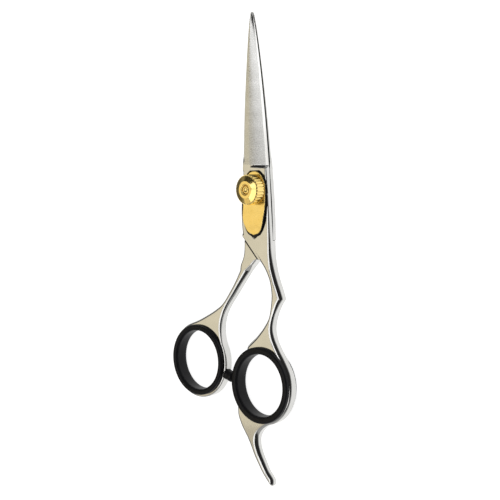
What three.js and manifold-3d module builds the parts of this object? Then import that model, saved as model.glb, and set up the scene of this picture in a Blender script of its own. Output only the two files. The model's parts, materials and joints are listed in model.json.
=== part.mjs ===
// Hair cutting shears with a tension knob, closed, lying on their back.
// Millimetres. +Z is up and runs along the pivot axis towards the knob, +Y runs along the blades to
// the tip, and the origin is where the pivot axis meets the plane that the shears lie on.
// The finger half carries the upper blade, the finger ring and the finger rest. The thumb half
// carries the lower blade and the thumb ring, and crosses under the finger half at the pivot.
import * as THREE from "three";
import { mergeVertices } from "three/addons/utils/BufferGeometryUtils.js";
import Module from "manifold-3d";

const wasm = await Module();
wasm.setup();

// ---------------------------------------------------------------- driving dimensions

const MID_Z = 2.5; // the plane on which the two halves ride
const RIDE_GAP = 0.05; // from MID_Z to the inner face of each half
const HALF_T = 1.7; // from MID_Z to the outer face of each half at the pivot
const BORE_GAP = 0.06; // radial running clearance
const SEAT_GAP = 0.03; // between pieces that rest on each other
const FIT_GAP = 0.1; // between a rubber insert and the metal that it grips

const BLADE_TIP_Y = 59.6;
const BLADE_ROOT_Y = 7.4; // where the ground bevel ends at the thick boss
const BLADE_HALF_WIDTH = 5.8; // the spine's distance from the centre line, taken back to the pivot
const EDGE_SHARE = 0.84; // the cutting edge's distance from the centre line, as a share of the spine's
const SPINE_T = { root: 1.6, tip: 0.7 }; // thickness at the spine
const BEVEL_T = 0.42; // thickness where the main bevel meets the cutting edge's own small bevel
const EDGE_T = 0.1;
const BLADE_STATIONS = 30;
const BLADE_SHARES = { back: 0.07, facet: 0.27, edge: 0.09 }; // of a section's width: the sloped back,
// the flat facet beside it, and the cutting edge's small bevel

const EDGE_ROUND = 0.8; // chamfer along the edges of the shanks and rings
const FACE_STEP = 5; // longest triangle side on a face that is bent afterwards
const SHANK_T = 3.4;
const RING_T = 3.2;
const REST_T = 2.7; // thickness at the end of the finger rest
const THINNING = { shank: [18, 28], ring: [31, 43], rest: [80, 100] }; // where each begins and ends, in -Y

const SEAM_GAP = 0.14; // between the step of one half and the edge of the other

const MERGE_TOL = 0.004; // nearly flat triangles are joined within this
const BELOW = -5; // heights that a cutter reaches to, past the whole part
const ABOVE = 15;

const FINGER_RING = { x: -0.5, y: -66.4, r: 13.8, hole: 12, eye: 10.5, lip: 13.3 };
const THUMB_RING = { x: -30.6, y: -59.5, r: 13.5, hole: 11.8, eye: 10.4, lip: 12.8 };
const INSERT_T = 2 * MID_Z; // an insert stands proud of the ring on both faces, down to the table

const BOLT = { shoulder: 2.0, thread: 1.5, head: 3.6, headT: 1.15, top: 8.8 };
const BUSHING_R = 2.75;
const GLIDE_WASHER = { r: 5.1, t: 0.3 };

const PLATE = {
  t: 0.8,
  halfWidth: 5.1,
  topY: 6.2,
  bottomY: -15.4,
  tilt: 4, // degrees, with its lower end to the left
  bowY: -4.9, // the bow begins at the edge of the knob
  rise: 0.5,
  step: 2.2,
};
const POCKET_DEPTH = 0.35;
const POCKET_MARGIN = 0.5;

const WASHER = { r: 3.7, t: 0.3 };
const KNOB = {
  r: 5.15,
  t: 4.4,
  wall: 3.35, // height of the knurled wall, below the domed face
  face: 2.9, // radius of the nearly flat middle
  dishR: 1.9, // the dish round the bolt's end
  dish: 0.3,
  flutes: 30,
  fluteR: 0.32,
  fluteDepth: 0.2,
};
const SPRING = { rIn: 2.9, rOut: 3.8, t: 0.25, wave: 0.16, waves: 3 };
const LOCK_RING = { r: 2.6, t: 0.8 };

const BUMPER = { angle: -19.5, r: 1.9, reach: 3.3, sunk: 0.45, studR: 0.6, studFoot: -1.3, studTop: 1.1 };

// Heights of the stack on the front face, from the face up.
const FRONT_Z = MID_Z + HALF_T;
const PLATE_Z = FRONT_Z - POCKET_DEPTH + SEAT_GAP;
const WASHER_Z = PLATE_Z + PLATE.t + SEAT_GAP;
const KNOB_Z = PLATE_Z + PLATE.t + 2 * SEAT_GAP;

// ---------------------------------------------------------------- materials

const metal = (color, roughness) => new THREE.MeshStandardMaterial({ color, roughness, metalness: 1 });
const plain = (color, roughness) => new THREE.MeshStandardMaterial({ color, roughness, metalness: 0 });
const MATERIALS = {
  steel: metal(0xd0cbc2, 0.2),
  bolt: metal(0xc8c6c2, 0.25),
  gold: metal(0xe6b450, 0.2),
  spring: metal(0xb8b8b4, 0.35),
  bushing: metal(0xc89a50, 0.35),
  nylon: plain(0xece8dc, 0.5),
  rubber: plain(0x17171a, 0.45),
};

// ---------------------------------------------------------------- helpers

function solidOf(geometry) {
  const bare = geometry.index ? geometry.toNonIndexed() : geometry.clone();
  bare.deleteAttribute("normal");
  bare.deleteAttribute("uv");
  const merged = mergeVertices(bare, 1e-4);
  const made = new wasm.Manifold(
    new wasm.Mesh({
      numProp: 3,
      vertProperties: merged.attributes.position.array,
      triVerts: new Uint32Array(merged.index.array),
    }),
  );
  return made;
}

function geometryOf(solid) {
  const mesh = solid.simplify(MERGE_TOL).getMesh();
  const geometry = new THREE.BufferGeometry();
  geometry.setAttribute("position", new THREE.BufferAttribute(mesh.vertProperties, 3));
  geometry.setIndex(new THREE.BufferAttribute(mesh.triVerts, 1));
  return geometry;
}

const joined = (...solids) => solids.reduce((all, one) => all.add(one));
const cutFrom = (solid, ...cutters) => cutters.reduce((left, one) => left.subtract(one), solid);

// A smooth open curve through plan points, as a list of [x, y].
function smooth(points, steps) {
  const curve = new THREE.CatmullRomCurve3(
    points.map(([x, y]) => new THREE.Vector3(x, y, 0)),
    false,
    "centripetal",
  );
  return curve.getSpacedPoints(steps).map((p) => [p.x, p.y]);
}

// Points on a circle from one angle to another, in degrees.
function arc({ x, y, r }, from, to, steps) {
  return Array.from({ length: steps + 1 }, (_, i) => {
    const angle = THREE.MathUtils.degToRad(from + ((to - from) * i) / steps);
    return [x + r * Math.cos(angle), y + r * Math.sin(angle)];
  });
}

const shapeOf = (points) => new THREE.Shape(points.map(([x, y]) => new THREE.Vector2(x, y)));

// A plan outline raised from z0 to z1, with an optional chamfer of both edges.
function slab(points, z0, z1, chamfer = 0) {
  const geometry = new THREE.ExtrudeGeometry(shapeOf(points), {
    depth: z1 - z0 - 2 * chamfer,
    steps: 1,
    bevelEnabled: chamfer > 0,
    bevelThickness: chamfer,
    bevelSize: chamfer,
    bevelOffset: -chamfer,
    bevelSegments: 2,
  });
  return geometry.translate(0, 0, z0 + chamfer);
}

// A profile of [radius, z] pairs turned round the Z axis.
function turned(profile, segments = 32) {
  const points = profile.map(([r, z]) => new THREE.Vector2(r, z));
  return new THREE.LatheGeometry(points, segments).rotateX(Math.PI / 2);
}

const disc = (r, z0, z1, segments = 32) =>
  turned([[0, z0], [r, z0], [r, z1], [0, z1]], segments);

const ring = (rIn, rOut, z0, z1, segments = 32) =>
  turned([[rIn, z0], [rOut, z0], [rOut, z1], [rIn, z1], [rIn, z0]], segments);

// A closed skin over sections that all have the same number of points.
function loft(sections) {
  const count = sections[0].length;
  const positions = [];
  const triangle = (a, b, c) => positions.push(...a, ...b, ...c);
  for (let s = 0; s + 1 < sections.length; s += 1) {
    const here = sections[s];
    const next = sections[s + 1];
    for (let i = 0; i < count; i += 1) {
      const j = (i + 1) % count;
      triangle(here[i], here[j], next[j]);
      triangle(here[i], next[j], next[i]);
    }
  }
  for (let i = 1; i + 1 < count; i += 1) {
    const first = sections[0];
    const last = sections[sections.length - 1];
    triangle(first[0], first[i + 1], first[i]);
    triangle(last[0], last[i], last[i + 1]);
  }
  const geometry = new THREE.BufferGeometry();
  geometry.setAttribute("position", new THREE.Float32BufferAttribute(positions, 3));
  return geometry;
}

// Turns a finger-half solid over about the blades' centre line, which makes it a thumb-half one.
// The half turn is a rotation, so the solid stays the right way out.
function turnedOver(geometry) {
  return geometry.rotateY(Math.PI).translate(0, 0, 2 * MID_Z);
}

// ---------------------------------------------------------------- blades

const bladeHalfWidth = (y) => BLADE_HALF_WIDTH * (1 - (Math.max(y, 0) / BLADE_TIP_Y) ** 1.45) ** 0.75;

// One section of the upper blade: flat inside, a facet along the spine, a bevel to the edge.
function bladeSection(y) {
  const spine = Math.max(bladeHalfWidth(y), 0.12);
  const edge = EDGE_SHARE * spine;
  const width = spine + edge;
  const along = (y - BLADE_ROOT_Y) / (BLADE_TIP_Y - BLADE_ROOT_Y);
  const t = THREE.MathUtils.lerp(SPINE_T.root, SPINE_T.tip, along);
  const low = Math.min(BEVEL_T, 0.5 * t);
  const inner = MID_Z + RIDE_GAP;
  return [
    [-spine, y, inner],
    [-spine, y, inner + 0.7 * t],
    [-spine + BLADE_SHARES.back * width, y, inner + t],
    [-spine + BLADE_SHARES.facet * width, y, inner + t],
    [edge - BLADE_SHARES.edge * width, y, inner + low],
    [edge, y, inner + EDGE_T],
    [edge, y, inner],
  ];
}

function bladeBlank() {
  const root = BLADE_ROOT_Y - 2; // the blade reaches into the boss
  const sections = Array.from({ length: BLADE_STATIONS + 1 }, (_, i) => {
    const share = Math.sin((Math.PI / 2) * (i / BLADE_STATIONS)); // stations crowd towards the tip
    return bladeSection(THREE.MathUtils.lerp(root, BLADE_TIP_Y, share));
  });
  return loft(sections);
}

// The sides of the finger half's boss: along the spine down to the corner where the seam begins, and
// from the shank up to the end of the bevel.
const FINGER_SPINE_SIDE = [
  [-bladeHalfWidth(BLADE_ROOT_Y), BLADE_ROOT_Y], [-5.75, 4], [-6.35, -0.5], [-7, -5], [-7.05, -10],
  [-6.6, -14], [-5.7, -17.1],
];
const FINGER_EDGE_SIDE = [[5.75, -17], [5.65, -10], [5.4, -2], [5.25, 4], [4.95, 6.6], [4.2, BLADE_ROOT_Y]];
// The same for the thumb half, whose spine is on the right.
const THUMB_SPINE_SIDE = [
  [bladeHalfWidth(BLADE_ROOT_Y), BLADE_ROOT_Y], [5.75, 4], [6.05, -1], [6.25, -6], [6.2, -12], [5.9, -17.1],
];
const THUMB_EDGE_SIDE = [
  [-5.6, -17], [-5.75, -10], [-5.5, -2], [-5.25, 4], [-4.95, 6.6], [-4.2, BLADE_ROOT_Y],
];
// Where the two halves part below the pivot.
const CROTCH = [-0.1, -23.6];

// ---------------------------------------------------------------- outlines, from above

// The finger half: boss, seam edge, shank, ring and finger rest.
function fingerOutline() {
  const innerShank = [
    CROTCH, [2.5, -27.4], [4.2, -31.1], [4.75, -34.8], [4.5, -38.8], [3.6, -42.9], [1.5, -46.2], [-2, -49.8],
    [-6.6, -53.6],
  ];
  const restLeft = [
    [-12.6, -74.2], [-12.3, -78], [-11, -81.3], [-9.3, -84.6], [-7.5, -88], [-5.9, -91.3], [-4.1, -94.2],
    [-2.3, -96.9], [0.4, -100],
  ];
  const restRight = [
    [2.9, -98.6], [0.45, -95.4], [-1.2, -92.5], [-2.6, -89.8], [-3.45, -86.8], [-3.2, -84.3], [-1.5, -82],
    [1.9, -80],
  ];
  const outerLow = [
    [12.4, -61.4], [10, -57.2], [7.8, -53.9], [5.9, -50.2], [5.3, -46.9], [6.3, -43.1], [8.2, -39.6],
    [10.2, -37.2],
  ];
  const outerHigh = [[10.3, -36.4], [9.5, -34.4], [8.15, -31], [6.8, -26.6], [6.1, -22], [5.75, -17]];
  return [
    ...smooth(FINGER_SPINE_SIDE, 14),
    ...smooth(innerShank, 20),
    ...arc(FINGER_RING, 121, 206, 8),
    ...smooth(restLeft, 14),
    ...arc({ x: 1.72, y: -99.4, r: 1.45 }, 230, 330, 4),
    ...smooth(restRight, 14),
    ...arc(FINGER_RING, -72, 14, 8),
    ...smooth(outerLow, 14),
    ...smooth(outerHigh, 10),
    ...smooth(FINGER_EDGE_SIDE, 10).slice(1),
  ];
}

// The thumb half: boss, seam edge, shank and ring.
function thumbOutline() {
  const innerShank = [
    CROTCH, [-2.3, -25.3], [-5.75, -28.9], [-9.1, -32.6], [-12.3, -36.3], [-15.9, -40.4], [-18.1, -43.9],
    [-19.1, -47.5], [-19.1, -50.6],
  ];
  const outerShank = [
    [-30.6, -45.95], [-26.6, -44.6], [-22.3, -42.5], [-18.5, -39.4], [-14.7, -34.8], [-11.8, -30.9],
    [-9.3, -26.7], [-6.8, -22.4], [-5.95, -19], [-5.6, -17],
  ];
  return [
    ...smooth(THUMB_SPINE_SIDE, 14),
    ...smooth(innerShank, 16),
    ...arc(THUMB_RING, 27, -260, 32),
    ...smooth(outerShank, 20),
    ...smooth(THUMB_EDGE_SIDE, 10).slice(1),
  ];
}

// ---------------------------------------------------------------- the two halves

// Half the thickness at a distance along the shears: full at the pivot, thinner towards the rings
// and thinnest at the end of the finger rest.
function halfThickness(y) {
  const { lerp, smoothstep } = THREE.MathUtils;
  const toShank = lerp(HALF_T, SHANK_T / 2, smoothstep(-y, ...THINNING.shank));
  const toRing = lerp(toShank, RING_T / 2, smoothstep(-y, ...THINNING.ring));
  return lerp(toRing, REST_T / 2, smoothstep(-y, ...THINNING.rest));
}

// The cast body of a half: its outline raised to full thickness, then thinned along its length.
function taperedBody(outline) {
  const block = solidOf(slab(outline, MID_Z - HALF_T, MID_Z + HALF_T, EDGE_ROUND));
  return block.refineToLength(FACE_STEP).warp((point) => {
    point[2] = MID_Z + ((point[2] - MID_Z) * halfThickness(point[1])) / HALF_T;
  });
}

// A block that fills one layer on the pivot's side of a seam. The seam runs from the corner of a
// boss, which is on the left (side 1) or on the right (side -1), to the crotch.
function layerBlock(spineSide, side, z0, z1) {
  const corner = new THREE.Vector2(...spineSide[spineSide.length - 1]);
  const crotch = new THREE.Vector2(...CROTCH);
  const along = crotch.clone().sub(corner).normalize();
  const out = new THREE.Vector2(side * along.y, -side * along.x);
  const ends = [corner.addScaledVector(along, -60), crotch.addScaledVector(along, 60)];
  const points = ends.map((p) => p.addScaledVector(out, SEAM_GAP).toArray());
  return solidOf(slab([...points, [side * 80, 90], [side * -80, 90]], z0, z1));
}

// What a half must leave free, so that the other half can cross it and swing.
const fingerClearance = () => layerBlock(THUMB_SPINE_SIDE, -1, BELOW, MID_Z + RIDE_GAP);
const thumbClearance = () => layerBlock(FINGER_SPINE_SIDE, 1, MID_Z - RIDE_GAP, ABOVE);

const eye = ({ x, y, hole }) => solidOf(disc(hole, BELOW, ABOVE, 48).translate(x, y, 0));

function bumperFrame() {
  const angle = THREE.MathUtils.degToRad(BUMPER.angle);
  const { x, y, r } = THUMB_RING;
  const direction = new THREE.Vector3(Math.cos(angle), Math.sin(angle), 0);
  return { direction, surface: new THREE.Vector3(x, y, MID_Z).addScaledVector(direction, r) };
}

// A turned profile laid along the bumper's axis: its height 0 is the thumb ring's outer surface.
function onBumperAxis(geometry) {
  const { direction, surface } = bumperFrame();
  const turn = new THREE.Quaternion().setFromUnitVectors(new THREE.Vector3(0, 0, 1), direction);
  return geometry.applyQuaternion(turn).translate(surface.x, surface.y, surface.z);
}

function fingerHalf() {
  const body = cutFrom(taperedBody(fingerOutline()), fingerClearance(), eye(FINGER_RING));
  const bore = solidOf(disc(BUSHING_R + BORE_GAP, BELOW, ABOVE));
  const washerSeat = solidOf(disc(GLIDE_WASHER.r + FIT_GAP, BELOW, MID_Z + RIDE_GAP + GLIDE_WASHER.t));
  const pocket = solidOf(slab(plateOutline(POCKET_MARGIN), FRONT_Z - POCKET_DEPTH, ABOVE));
  return cutFrom(joined(body, solidOf(bladeBlank())), bore, washerSeat, pocket);
}

function thumbHalf() {
  const body = cutFrom(taperedBody(thumbOutline()), thumbClearance(), eye(THUMB_RING));
  const bore = solidOf(disc(BOLT.shoulder + BORE_GAP, BELOW, ABOVE));
  const headSeat = solidOf(disc(BOLT.head + BORE_GAP, BELOW, BOLT.headT + SEAT_GAP));
  const padSeat = disc(BUMPER.r + FIT_GAP, -BUMPER.sunk - FIT_GAP, BUMPER.reach, 24);
  const bumperSeat = solidOf(onBumperAxis(padSeat));
  const studHole = solidOf(onBumperAxis(disc(BUMPER.studR + FIT_GAP, BELOW, BUMPER.reach, 16)));
  return cutFrom(joined(body, solidOf(turnedOver(bladeBlank()))), bore, headSeat, bumperSeat, studHole);
}

// ---------------------------------------------------------------- tension plate

// The leaf plate from above: a round head about the pivot and a tongue that narrows to a round end.
// A margin gives the pocket that it lies in, whose lower end comes to a point.
function plateOutline(margin = 0) {
  const { halfWidth, topY, bottomY } = PLATE;
  const middleY = (topY + bottomY) / 2;
  const side = smooth(
    [[halfWidth, -5.5], [halfWidth - 0.15, -8.6], [halfWidth - 0.9, -11.8], [2.6, -14.4], [0, bottomY]],
    8,
  );
  const head = arc({ x: 0, y: 0, r: halfWidth }, 0, 90, 9).map(([x, y]) => [x, (y * topY) / halfWidth]);
  const half = [...side.reverse(), ...head].map(([x, y]) => {
    const length = Math.hypot(x, y - middleY);
    return [x * (1 + margin / length), y + (margin * (y - middleY)) / length];
  });
  if (margin > 0) half[0] = [0, bottomY - 2.4 * margin];
  const other = half.slice(1, -1).reverse().map(([x, y]) => [-x, y]);
  const tilt = -THREE.MathUtils.degToRad(PLATE.tilt);
  return [...half, ...other].map(([x, y]) => [
    x * Math.cos(tilt) - y * Math.sin(tilt),
    x * Math.sin(tilt) + y * Math.cos(tilt),
  ]);
}

// The plate is bowed: it lies flat under the knob and at its lower end, and stands off in between.
function tensionPlate() {
  const { clamp, inverseLerp } = THREE.MathUtils;
  const flat = solidOf(slab(plateOutline(), PLATE_Z, PLATE_Z + PLATE.t));
  const bored = cutFrom(flat, solidOf(disc(BOLT.shoulder + FIT_GAP, BELOW, ABOVE)));
  return bored.refineToLength(PLATE.step).warp((point) => {
    const share = clamp(inverseLerp(PLATE.bowY, PLATE.bottomY, point[1]), 0, 1);
    point[2] += PLATE.rise * Math.sin(Math.PI * share) ** 2;
  });
}

// ---------------------------------------------------------------- pivot hardware

function pivotBolt() {
  const neckTop = WASHER_Z;
  return turned([
    [0, 0], [BOLT.head - 0.3, 0], [BOLT.head, 0.25], [BOLT.head, BOLT.headT], [BOLT.shoulder, BOLT.headT],
    [BOLT.shoulder, neckTop], [BOLT.thread, neckTop + 0.3], [BOLT.thread, BOLT.top - 0.35],
    [BOLT.thread * 0.6, BOLT.top - 0.06], [0, BOLT.top],
  ]);
}

const pivotBushing = () =>
  ring(BOLT.shoulder + BORE_GAP, BUSHING_R, MID_Z + GLIDE_WASHER.t + SEAT_GAP, PLATE_Z - SEAT_GAP);

const glideWasher = () =>
  ring(BOLT.shoulder + BORE_GAP, GLIDE_WASHER.r, MID_Z, MID_Z + GLIDE_WASHER.t);

const plateWasher = () => ring(BOLT.shoulder + BORE_GAP, WASHER.r, WASHER_Z, WASHER_Z + WASHER.t);

const SPRING_Z = WASHER_Z + WASHER.t + SEAT_GAP;
const KNOB_FLOOR_Z = SPRING_Z + SPRING.t + 2 * SPRING.wave + 2 * SEAT_GAP;

// A knurled round nut, with a seat for the spring and the lock ring in its underside.
function tensionKnob() {
  const top = KNOB_Z + KNOB.t;
  const blank = solidOf(
    turned([
      [0, KNOB_Z], [KNOB.r - 0.25, KNOB_Z], [KNOB.r, KNOB_Z + 0.25], [KNOB.r, KNOB_Z + KNOB.wall],
      [KNOB.r - 0.35, KNOB_Z + KNOB.wall + 0.35], [KNOB.face, top - 0.05], [0, top],
    ], 60),
  );
  const flute = (i) =>
    solidOf(
      disc(KNOB.fluteR, BELOW, ABOVE, 6).translate(KNOB.r - KNOB.fluteDepth + KNOB.fluteR, 0, 0)
        .rotateZ((2 * Math.PI * i) / KNOB.flutes),
    );
  const flutes = Array.from({ length: KNOB.flutes }, (_, i) => flute(i));
  const springSeat = solidOf(disc(SPRING.rOut + FIT_GAP, BELOW, KNOB_FLOOR_Z));
  const ringSeat = solidOf(disc(LOCK_RING.r + SEAT_GAP, BELOW, KNOB_FLOOR_Z + LOCK_RING.t + SEAT_GAP, 32));
  const bore = solidOf(disc(BOLT.thread + BORE_GAP, BELOW, ABOVE, 32));
  const faceDish = solidOf(disc(KNOB.dishR, top - KNOB.dish, ABOVE, 32));
  return cutFrom(blank, ...flutes, springSeat, ringSeat, bore, faceDish);
}

// A thin washer with three waves, which keeps an even pull on the knob.
function knobSpring() {
  const steps = 36;
  const z = SPRING_Z + SPRING.wave;
  const positions = [];
  const point = (r, i, lift) => {
    const angle = (2 * Math.PI * (i % steps)) / steps;
    const wave = SPRING.wave * Math.sin(SPRING.waves * angle);
    return [r * Math.cos(angle), r * Math.sin(angle), z + lift + wave];
  };
  const quad = (a, b, c, d) => positions.push(...a, ...b, ...c, ...a, ...c, ...d);
  const { rIn, rOut, t } = SPRING;
  for (let i = 0; i < steps; i += 1) {
    quad(point(rIn, i, t), point(rOut, i, t), point(rOut, i + 1, t), point(rIn, i + 1, t));
    quad(point(rIn, i + 1, 0), point(rOut, i + 1, 0), point(rOut, i, 0), point(rIn, i, 0));
    quad(point(rOut, i, 0), point(rOut, i + 1, 0), point(rOut, i + 1, t), point(rOut, i, t));
    quad(point(rIn, i + 1, 0), point(rIn, i, 0), point(rIn, i, t), point(rIn, i + 1, t));
  }
  const geometry = new THREE.BufferGeometry();
  geometry.setAttribute("position", new THREE.Float32BufferAttribute(positions, 3));
  return geometry;
}

const lockRing = () =>
  ring(BOLT.thread + BORE_GAP, LOCK_RING.r, KNOB_FLOOR_Z, KNOB_FLOOR_Z + LOCK_RING.t, 32);

// ---------------------------------------------------------------- rubber parts

// A rubber insert: a sleeve through the ring with a lip on each face.
function ringInsert({ x, y, hole, eye: rIn, lip }) {
  const top = INSERT_T / 2;
  const under = RING_T / 2 + FIT_GAP;
  const upper = [[hole - FIT_GAP, under], [lip, under], [lip - 0.15, top - 0.2], [lip - 0.7, top],
    [rIn + 1.1, top], [rIn + 0.35, top - 0.2], [rIn, top - 0.9]];
  const lower = upper.map(([r, z]) => [r, -z]).reverse();
  const geometry = turned([...upper, ...lower, upper[0]], 44);
  return geometry.translate(x, y, MID_Z);
}

function bumperPad() {
  const { r, reach, sunk, studR, studTop } = BUMPER;
  const pad = turned([[0, -sunk], [r, -sunk], [r, reach - 0.7], [r - 0.5, reach - 0.12], [0, reach]], 24);
  const socket = disc(studR + BORE_GAP, BELOW, studTop + BORE_GAP, 16);
  return onBumperAxis(geometryOf(cutFrom(solidOf(pad), solidOf(socket))));
}

const bumperStud = () => onBumperAxis(disc(BUMPER.studR, BUMPER.studFoot, BUMPER.studTop, 16));

// ---------------------------------------------------------------- assembly

const shears = new THREE.Group();
shears.name = "hair_cutting_shears";

function add(name, shape, material, group = shears) {
  const geometry = shape.isBufferGeometry ? shape : geometryOf(shape);
  geometry.computeVertexNormals();
  const mesh = new THREE.Mesh(geometry, MATERIALS[material]);
  mesh.name = name;
  group.add(mesh);
}

add("finger_half", fingerHalf(), "steel");
add("thumb_half", thumbHalf(), "steel");
add("finger_ring_insert", ringInsert(FINGER_RING), "rubber");
add("thumb_ring_insert", ringInsert(THUMB_RING), "rubber");
add("bumper_pad", bumperPad(), "rubber");
add("bumper_stud", bumperStud(), "bolt");
add("pivot_bolt", pivotBolt(), "bolt");
add("pivot_bushing", pivotBushing(), "bushing");
add("glide_washer", glideWasher(), "nylon");
add("tension_plate", tensionPlate(), "gold");
add("plate_washer", plateWasher(), "nylon");
add("knob_spring", knobSpring(), "spring");
add("knob_lock_ring", lockRing(), "nylon");
add("tension_knob", tensionKnob(), "gold");

export default shears;
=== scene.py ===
"""Looks of the hair cutting shears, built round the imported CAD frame.

Shapes are worked out in millimetres in the frame's axes and turned into metres when a mesh is made.
The two steel halves are dual-contoured from distance fields, with a lofted blade on each; the rest is
turned profiles and a contoured leaf plate.
"""

import json
import math

import bpy
import numpy as np
from mathutils import Matrix, Vector, kdtree

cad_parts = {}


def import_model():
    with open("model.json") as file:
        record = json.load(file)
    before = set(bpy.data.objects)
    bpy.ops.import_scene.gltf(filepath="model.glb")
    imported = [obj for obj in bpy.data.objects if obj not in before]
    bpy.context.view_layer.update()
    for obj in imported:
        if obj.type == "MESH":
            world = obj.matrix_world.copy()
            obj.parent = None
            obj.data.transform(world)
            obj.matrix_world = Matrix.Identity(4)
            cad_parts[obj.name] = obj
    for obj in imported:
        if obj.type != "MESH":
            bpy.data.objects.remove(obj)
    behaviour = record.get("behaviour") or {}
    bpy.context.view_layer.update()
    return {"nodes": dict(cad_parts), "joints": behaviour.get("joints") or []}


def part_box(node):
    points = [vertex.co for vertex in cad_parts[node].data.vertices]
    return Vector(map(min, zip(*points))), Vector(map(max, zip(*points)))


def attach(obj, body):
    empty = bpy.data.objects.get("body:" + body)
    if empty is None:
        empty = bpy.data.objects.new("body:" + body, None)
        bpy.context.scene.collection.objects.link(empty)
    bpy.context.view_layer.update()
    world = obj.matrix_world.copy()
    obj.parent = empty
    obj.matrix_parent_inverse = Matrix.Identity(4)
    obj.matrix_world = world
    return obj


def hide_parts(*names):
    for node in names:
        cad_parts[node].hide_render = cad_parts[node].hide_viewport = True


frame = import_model()

MM = 0.001


def box_mm(node):
    """Lowest and highest corner of a CAD node, in millimetres."""
    lo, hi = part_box(node)
    return np.array(lo) / MM, np.array(hi) / MM


# ---- driving dimensions, in millimetres

PIVOT = next(j for j in frame["joints"] if j["name"] == "blade_pivot")
MID_Z = PIVOT["pos_m"][2] / MM
RIDE_GAP = 0.05
PLATE_LO, PLATE_HI = box_mm("tension_plate")
BUSHING_R = box_mm("pivot_bushing")[1][0]
WASHER_R, _, WASHER_TOP = box_mm("glide_washer")[1]
BOLT_HEAD_R, _, BOLT_TOP = box_mm("pivot_bolt")[1]
POCKET_DEPTH = 0.35
PLATE_SUNK = 0.32  # the plate's underside below the front face, just clear of the pocket's floor
POCKET_RIM = 0.28  # the chamfer round its mouth
POCKET_PAINTED_SHADE_X = -3.2  # the painted shade in the pocket lies to the +X side of it
FRONT_Z = PLATE_LO[2] + PLATE_SUNK
POCKET_FLOOR = FRONT_Z - POCKET_DEPTH
RIDE_END_Y = -25  # the ground faces that ride on each other end here

HALF_T = FRONT_Z - MID_Z
RING_HALF_T = 1.6
RING_THIN_Y = (31, 43)  # below the pivot, where a half thins to its ring
REST_HALF_T = 1.35
REST_THIN_Y = (80, 100)
SEAM_GAP = 0.09
CROTCH = (-0.1, -23.6)
BORE_GAP = 0.06  # round the bolt and the bushing
LOOSE_GAP = 0.1  # round the washer, and round the bolt in the plate
HEAD_GAP = 0.03  # over the bolt's head
BOLT_SHOULDER = 2.0
BOLT_HEAD_T = 1.15

BLADE_TIP_Y = box_mm("finger_half")[1][1]
BLADE_HALF_WIDTH = 5.8
BLADE_TAPER = (1.45, 0.75)  # exponents of its narrowing: how late it begins, and how blunt the tip is
EDGE_SHARE = 0.95  # the cutting edge's distance from the middle line, against the spine's
SPINE_T = (1.6, 0.7)  # at the root and at the tip
TIP_THINNED = (4, 0.2)  # how long the thinned tip is, and the share it loses
EDGE_T = 0.1
EDGE_SLOPE = 0.34  # of the narrow bevel at the cutting edge
BEVEL_ROUND = 0.5  # how convex the wide bevel is
UNDER_CHAMFER = 0.38  # on the inner face's spine side
UNDER_CHAMFER_Y = 9.5  # where it is full
BACK_Y = 13.0  # where the bevel on the spine is full
BACK_FALL = 0.3  # of the thickness there
HOLLOW = (9, 14, 0.05)  # of the inner face: where it begins, where it is full, and its depth
JOIN_Y = 6.75  # where the blade's own mesh begins
SPINE_JOINED_Y = 7.4  # where the boss's sides have become the blade's
EDGE_JOINED_Y = 7.75
HEEL_Y = (6.85, 8.15)  # the hollow-ground step up from the bevel to the boss, at the cutting edge
HEEL_CURVE = 2.2
HEEL_SLANT = 0.09  # how far the step lies back for each millimetre towards the spine
HEEL_SHADOW_LINE_Y = (6.95, 7.65)  # a painted shadow line along the step
HEEL_SHADOW_LINE_X = (-0.6, 4.2)
FACET_SHARE = 0.27
BACK_SHARE = 0.07
BEVEL_EDGE_SHARE = 0.09

CELL = 0.2  # of the contoured halves
PLATE_CELL = 0.13
POCKET_CELL = 0.15
GRID_MARGIN = 0.5  # of the contoured halves' grid round them, in plan
GRID_MARGIN_Z = 0.3

OUTLINE_TOP = 8.0  # past the join, where both outlines close

# The sides of the bosses. Every outline here runs the way that finger_outline and thumb_outline join them.
FINGER_SPINE_SIDE = [
    (-5.56, 7.4), (-5.75, 4), (-6.35, -0.5), (-7, -5), (-7.25, -10), (-7.2, -13), (-6.95, -15.9),
]
FINGER_EDGE_SIDE = [(6, -17), (5.95, -10), (5.8, -2), (5.6, 4), (5.5, JOIN_Y), (5.5, 8)]
THUMB_SPINE_SIDE = [
    (5.6, 7.4), (5.75, 4), (6.0, -1), (6.15, -6), (6.15, -12), (6.0, -17.1),
]
THUMB_EDGE_SIDE = [(-6.15, -16), (-5.85, -10), (-5.6, -2), (-5.5, 4), (-5.5, JOIN_Y), (-5.5, 8)]

# Shanks and finger rest, in plan.
FINGER_INNER = [
    (2.5, -27.4), (4.2, -31.1), (4.75, -34.8), (4.5, -38.8), (3.6, -42.9), (1.35, -46.1), (-2.4, -49.65),
    (-7, -53.3),
]
REST_LEFT = [
    (-12.6, -74.2), (-12.3, -78), (-11, -81.3), (-9.3, -84.6), (-7.5, -88), (-5.9, -91.3), (-4.1, -94.2),
    (-2.3, -96.9), (0.4, -100),
]
REST_RIGHT = [
    (2.9, -98.6), (0.45, -95.4), (-1.2, -92.5), (-2.6, -89.8), (-3.45, -86.8), (-3.2, -84.3), (-1.5, -82),
    (1.9, -80),
]
REST_END = (1.72, -99.4, 1.45)
FINGER_OUTER_LOW = [
    (12.4, -61.4), (10, -57.2), (7.8, -53.9), (5.9, -50.2), (5.3, -46.9), (6.3, -43.1), (8.2, -39.6),
    (10.2, -37.1),
]
FINGER_OUTER_HIGH = [(10.25, -36.6), (9.5, -34.4), (8.15, -31), (6.8, -26.6), (6.1, -22)]
THUMB_INNER = [
    (-2.3, -25.3), (-5.75, -28.9), (-9.1, -32.6), (-12.3, -36.3), (-15.9, -40.4), (-18.1, -43.9),
    (-19.1, -47.5), (-19.1, -50.6),
]
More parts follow.
